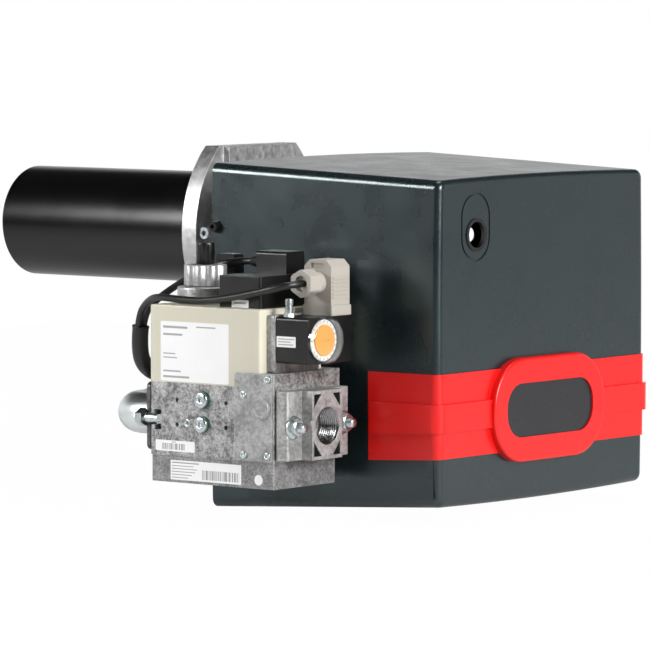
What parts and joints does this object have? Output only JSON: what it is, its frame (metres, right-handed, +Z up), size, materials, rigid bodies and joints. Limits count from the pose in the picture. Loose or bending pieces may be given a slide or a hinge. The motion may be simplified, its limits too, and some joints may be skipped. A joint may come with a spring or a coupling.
{
  "type": "industrial gas burner",
  "caption": "Monobloc forced-draught gas burner: boxed hood with wraparound band, blast tube through a sliding cast flange, and a side gas train with double valve, brake and pressure switch.",
  "frame": {"origin": "centre of the mounting flange's boiler-side face, on the blast tube's axis", "axes": "+X from the flame towards the closed rear of the hood, -Y to the gas train, +Z up"},
  "size_m": [0.6154, 0.4522, 0.3247],
  "materials": {
    "painted_black_tube": "gloss",
    "cast_aluminium": "as cast, matt",
    "bright_steel": "zinc plated",
    "zinc_pipe": "galvanised",
    "black_screw": "black oxide",
    "hood_plastic": "fine grain",
    "red_plastic": "satin gloss",
    "badge_plastic": "plain",
    "black_plastic": "moulded",
    "sheet_steel": "powder coat",
    "wheel_steel": "galvanised sheet",
    "motor_paint": "satin",
    "grey_plastic": "moulded",
    "light_plastic": "moulded",
    "cream_plastic": "moulded",
    "smooth_aluminium": "die cast, smooth",
    "dark_aluminium": "die cast, dark",
    "knob_aluminium": "turned",
    "clear_cover": "clear moulded plastic",
    "orange_dial": "printed",
    "brass": "turned",
    "ceramic": "glazed ceramic",
    "steel_inner": "plain",
    "cable_rubber": "smooth sheath"
  },
  "bodies": {
    "flange_body": {"mounting_flange": "cast_aluminium", "clamp_screw": "bright_steel"},
    "burner": {"blast_tube": "painted_black_tube", "neck_casting": "cast_aluminium", "hexagon_bolts": "bright_steel", "front_plate": "sheet_steel", "hood_screws": "black_screw", "fan_volute": "cast_aluminium", "motor_housing": "motor_paint", "motor_cover": "motor_paint", "capacitor": "light_plastic", "ignition_transformer": "black_plastic", "air_box": "sheet_steel", "control_box": "black_plastic", "control_bracket": "wheel_steel", "air_pressure_switch": "grey_plastic", "head_elbow": "cast_aluminium", "valve_body": "cast_aluminium", "base_cover": "dark_aluminium", "regulator_plate": "smooth_aluminium", "regulator_screws": "bright_steel", "test_screws": "bright_steel", "coil_housing": "cream_plastic", "inlet_flange": "cast_aluminium", "inlet_studs": "bright_steel", "outlet_flange": "cast_aluminium", "pipe_elbows": "zinc_pipe", "gas_pipe": "zinc_pipe", "brake_base": "knob_aluminium", "leak_tester": "black_plastic", "tester_plug": "black_plastic", "coil_socket": "black_plastic", "switch_adapter": "smooth_aluminium", "pressure_switch": "black_plastic", "dial_cover": "clear_cover", "test_nipple": "bright_steel", "valve_plug": "grey_plastic", "cable_gland": "grey_plastic", "supply_cable": "cable_rubber", "tester_cable": "cable_rubber", "cable_sleeve": "cable_rubber"},
    "hood_cover": {"hood": "hood_plastic", "red_band": "red_plastic", "badge_panel": "badge_plastic", "reset_bezel": "black_plastic"},
    "fan_rotor": {"fan_wheel": "wheel_steel", "motor_shaft": "steel_inner"},
    "air_damper": {"damper_flap": "wheel_steel", "damper_lever": "bright_steel"},
    "reset_key": {"reset_button": "light_plastic"},
    "firing_head": {"head_pipe": "steel_inner", "gas_nozzle": "steel_inner", "diffuser_disc": "steel_inner", "electrode_insulators": "ceramic", "electrode_rods": "steel_inner"},
    "plunger_1": {"armature_1": "steel_inner"},
    "plunger_2": {"armature_2": "steel_inner"},
    "flow_adjuster": {"flow_knob": "knob_aluminium"},
    "quick_stroke_cap": {"brake_cap": "black_plastic"},
    "pressure_setting": {"pressure_dial": "orange_dial"}
  },
  "joints": [
    {"name": "tube_slide", "type": "slide", "parent": "flange_body", "child": "burner", "axis": [1, 0, 0], "range_m": [0, 0.16]},
    {"name": "hood_draw", "type": "slide", "parent": "burner", "child": "hood_cover", "axis": [1, 0, 0], "range_m": [0, 0.27]},
    {"name": "fan_spin", "type": "hinge", "parent": "burner", "child": "fan_rotor", "pos_m": [0.215, 0, -0.077], "axis": [0, 1, 0], "continuous": true},
    {"name": "damper_turn", "type": "hinge", "parent": "burner", "child": "air_damper", "pos_m": [0.215, -0.073, -0.122], "axis": [1, 0, 0], "range_deg": [0, 80]},
    {"name": "reset_press", "type": "slide", "parent": "burner", "child": "reset_key", "axis": [-1, 0, 0], "range_m": [0, 0.0025], "stiffness_N_per_m": 400},
    {"name": "head_adjust", "type": "slide", "parent": "burner", "child": "firing_head", "axis": [1, 0, 0], "range_m": [0, 0.015]},
    {"name": "plunger_1_lift", "type": "slide", "parent": "burner", "child": "plunger_1", "axis": [0, 0, 1], "range_m": [0, 0.004], "stiffness_N_per_m": 1500, "springref_m": -0.008},
    {"name": "plunger_2_lift", "type": "slide", "parent": "burner", "child": "plunger_2", "axis": [0, 0, 1], "range_m": [0, 0.004], "stiffness_N_per_m": 1500, "springref_m": -0.008},
    {"name": "flow_turn", "type": "hinge", "parent": "burner", "child": "flow_adjuster", "pos_m": [0.144, -0.231, -0.028], "axis": [0, 0, 1], "range_deg": [0, 330]},
    {"name": "quick_stroke_turn", "type": "hinge", "parent": "burner", "child": "quick_stroke_cap", "pos_m": [0.144, -0.231, -0.01], "axis": [0, 0, 1], "range_deg": [0, 330]},
    {"name": "pressure_turn", "type": "hinge", "parent": "burner", "child": "pressure_setting", "pos_m": [0.2885, -0.245, -0.078], "axis": [1, 0, 0], "range_deg": [-135, 135]}
  ]
}
